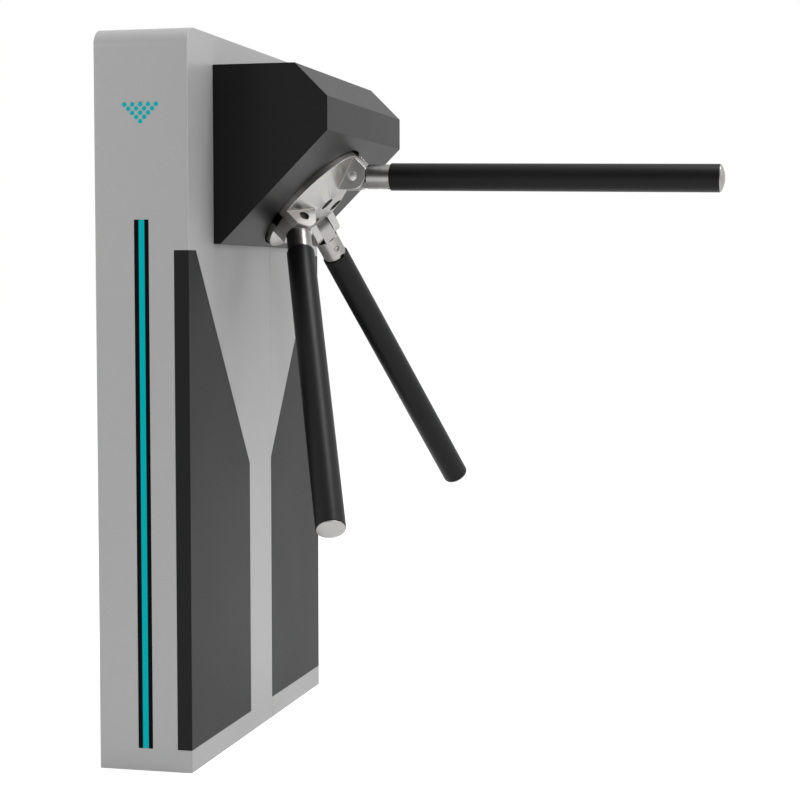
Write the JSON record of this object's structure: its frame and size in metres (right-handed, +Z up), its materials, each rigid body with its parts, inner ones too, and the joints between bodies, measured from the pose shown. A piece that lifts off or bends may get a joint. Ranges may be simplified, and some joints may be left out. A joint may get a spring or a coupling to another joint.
{
  "type": "tripod turnstile",
  "caption": "Waist-high tripod turnstile: slim steel cabinet with light strips, black side hood, and a tilted metal hub whose hinged arms turn and drop.",
  "frame": {"origin": "centre of the anchor bolt pattern, which is the centre of the cabinet's footprint, on the floor", "axes": "+X across the passage, from the cabinet towards the arm that bars it; +Y along the cabinet and the passage, away from the end seen in the picture; +Z up"},
  "size_m": [0.8059, 0.7662, 0.98],
  "materials": {
    "cabinet_sheet": "satin sheet steel, fine grained",
    "dark_panel": "satin black coating",
    "hood_black": "satin black coating",
    "black_plastic": "matt black",
    "cyan_lens": "lit cyan diffuser",
    "white_board": "white circuit board with lamps",
    "green_board": "circuit board, semi-gloss mask",
    "primer_grey": "grey primer on steel plate",
    "frame_grey": "dark grey coating on square steel tube",
    "bracket_steel": "zinc-plated steel plate",
    "zinc_steel": "bright zinc plate",
    "bearing_steel": "ground steel",
    "gear_steel": "machined steel, oiled",
    "housing_cast": "cast aluminium, machined faces",
    "motor_black": "black stove enamel",
    "coil_blue": "coil in a blue-grey case",
    "perforated_case": "perforated sheet case",
    "hub_aluminium": "satin cast and milled aluminium",
    "arm_root_steel": "turned and milled, satin",
    "arm_cap_metal": "turned, satin",
    "arm_black": "black coated aluminium tube, satin",
    "polished_pin": "polished steel",
    "black_screw": "black oxide steel"
  },
  "bodies": {
    "cabinet": {"base_plate": "primer_grey", "support_frame": "frame_grey", "front_shell": "cabinet_sheet", "rear_shell": "cabinet_sheet", "front_side_panel": "dark_panel", "rear_side_panel": "dark_panel", "front_light_channel": "black_plastic", "rear_light_channel": "black_plastic", "front_light_diffuser": "cyan_lens", "rear_light_diffuser": "cyan_lens", "light_boards": "white_board", "front_indicator_lens": "cyan_lens", "rear_indicator_lens": "cyan_lens", "indicator_boards": "green_board", "hood_shell": "hood_black", "hood_screws": "zinc_steel", "mechanism_bracket": "bracket_steel", "bracket_bolts": "zinc_steel", "bearing_housing": "housing_cast", "bearing_outer_races": "bearing_steel", "gear_plate": "bracket_steel", "plate_pillars": "zinc_steel", "drive_motor": "motor_black", "lock_solenoids": "coil_blue", "plunger_springs": "zinc_steel", "position_sensor": "black_plastic", "equipment_plate": "zinc_steel", "control_board": "green_board", "power_supply": "perforated_case", "hinge_leaves": "zinc_steel", "hinge_pins": "zinc_steel"},
    "rotor": {"hub": "hub_aluminium", "hub_screws": "black_screw", "main_shaft": "bearing_steel", "bearing_inner_races": "bearing_steel", "main_gear": "gear_steel", "lock_disc": "gear_steel", "encoder_disc": "black_plastic", "lock_nut": "zinc_steel", "arm_pivot_pins": "polished_pin"},
    "arm_1": {"arm_1_root": "arm_root_steel", "arm_1_tube": "arm_black", "arm_1_cap": "arm_cap_metal", "arm_1_set_screw": "zinc_steel"},
    "arm_2": {"arm_2_root": "arm_root_steel", "arm_2_tube": "arm_black", "arm_2_cap": "arm_cap_metal", "arm_2_set_screw": "zinc_steel"},
    "arm_3": {"arm_3_root": "arm_root_steel", "arm_3_tube": "arm_black", "arm_3_cap": "arm_cap_metal", "arm_3_set_screw": "zinc_steel"},
    "motor_shaft": {"motor_pinion": "gear_steel"},
    "entry_lock_pawl": {"entry_pawl": "gear_steel"},
    "entry_lock_plunger": {"entry_plunger": "zinc_steel"},
    "exit_lock_pawl": {"exit_pawl": "gear_steel"},
    "exit_lock_plunger": {"exit_plunger": "zinc_steel"},
    "door": {"service_door": "cabinet_sheet", "door_lock_body": "zinc_steel"},
    "door_lock": {"door_lock_plug": "zinc_steel"}
  },
  "joints": [
    {"name": "hub_turn", "type": "hinge", "parent": "cabinet", "child": "rotor", "pos_m": [0.115, 0, 0.8], "axis": [0.7071, 0, -0.7071], "continuous": true},
    {"name": "motor_turn", "type": "hinge", "parent": "cabinet", "child": "motor_shaft", "pos_m": [0.06055, 0.08, 0.85445], "axis": [0.7071, 0, -0.7071], "continuous": true},
    {"name": "arm_1_drop", "type": "hinge", "parent": "rotor", "child": "arm_1", "pos_m": [0.20999, 0, 0.79834], "axis": [0, 1, 0], "range_deg": [0, 90]},
    {"name": "arm_2_drop", "type": "hinge", "parent": "rotor", "child": "arm_2", "pos_m": [0.13999, -0.05715, 0.72835], "axis": [0.6124, -0.5, 0.6124], "range_deg": [0, 45]},
    {"name": "arm_3_drop", "type": "hinge", "parent": "rotor", "child": "arm_3", "pos_m": [0.13999, 0.05715, 0.72835], "axis": [-0.6124, -0.5, -0.6124], "range_deg": [0, 45]},
    {"name": "entry_pawl_swing", "type": "hinge", "parent": "cabinet", "child": "entry_lock_pawl", "pos_m": [0.00964, -0.045, 0.82051], "axis": [0.7071, 0, -0.7071], "range_deg": [0, 9]},
    {"name": "entry_plunger_pull", "type": "slide", "parent": "cabinet", "child": "entry_lock_plunger", "axis": [0, 1, 0], "range_m": [0, 0.0028], "stiffness_N_per_m": 250, "springref_m": -0.008, "deforming": ["plunger_springs"]},
    {"name": "exit_pawl_swing", "type": "hinge", "parent": "cabinet", "child": "exit_lock_pawl", "pos_m": [0.09449, -0.045, 0.90536], "axis": [-0.7071, 0, 0.7071], "range_deg": [0, 9]},
    {"name": "exit_plunger_pull", "type": "slide", "parent": "cabinet", "child": "exit_lock_plunger", "axis": [0, 1, 0], "range_m": [0, 0.0028], "stiffness_N_per_m": 250, "springref_m": -0.008, "deforming": ["plunger_springs"]},
    {"name": "door_swing", "type": "hinge", "parent": "cabinet", "child": "door", "pos_m": [-0.07, -0.214, 0.46], "axis": [0, 0, 1], "range_deg": [0, 110]},
    {"name": "door_lock_turn", "type": "hinge", "parent": "door", "child": "door_lock", "pos_m": [-0.065, -0.032, 0.46], "axis": [-1, 0, 0], "range_deg": [0, 90]}
  ],
  "couplings": [
    {"joint": "motor_turn", "follows": "hub_turn", "ratio": -3},
    {"joint": "entry_pawl_swing", "follows": "entry_plunger_pull", "rad_per_m": 55.5},
    {"joint": "exit_pawl_swing", "follows": "exit_plunger_pull", "rad_per_m": 55.5}
  ]
}
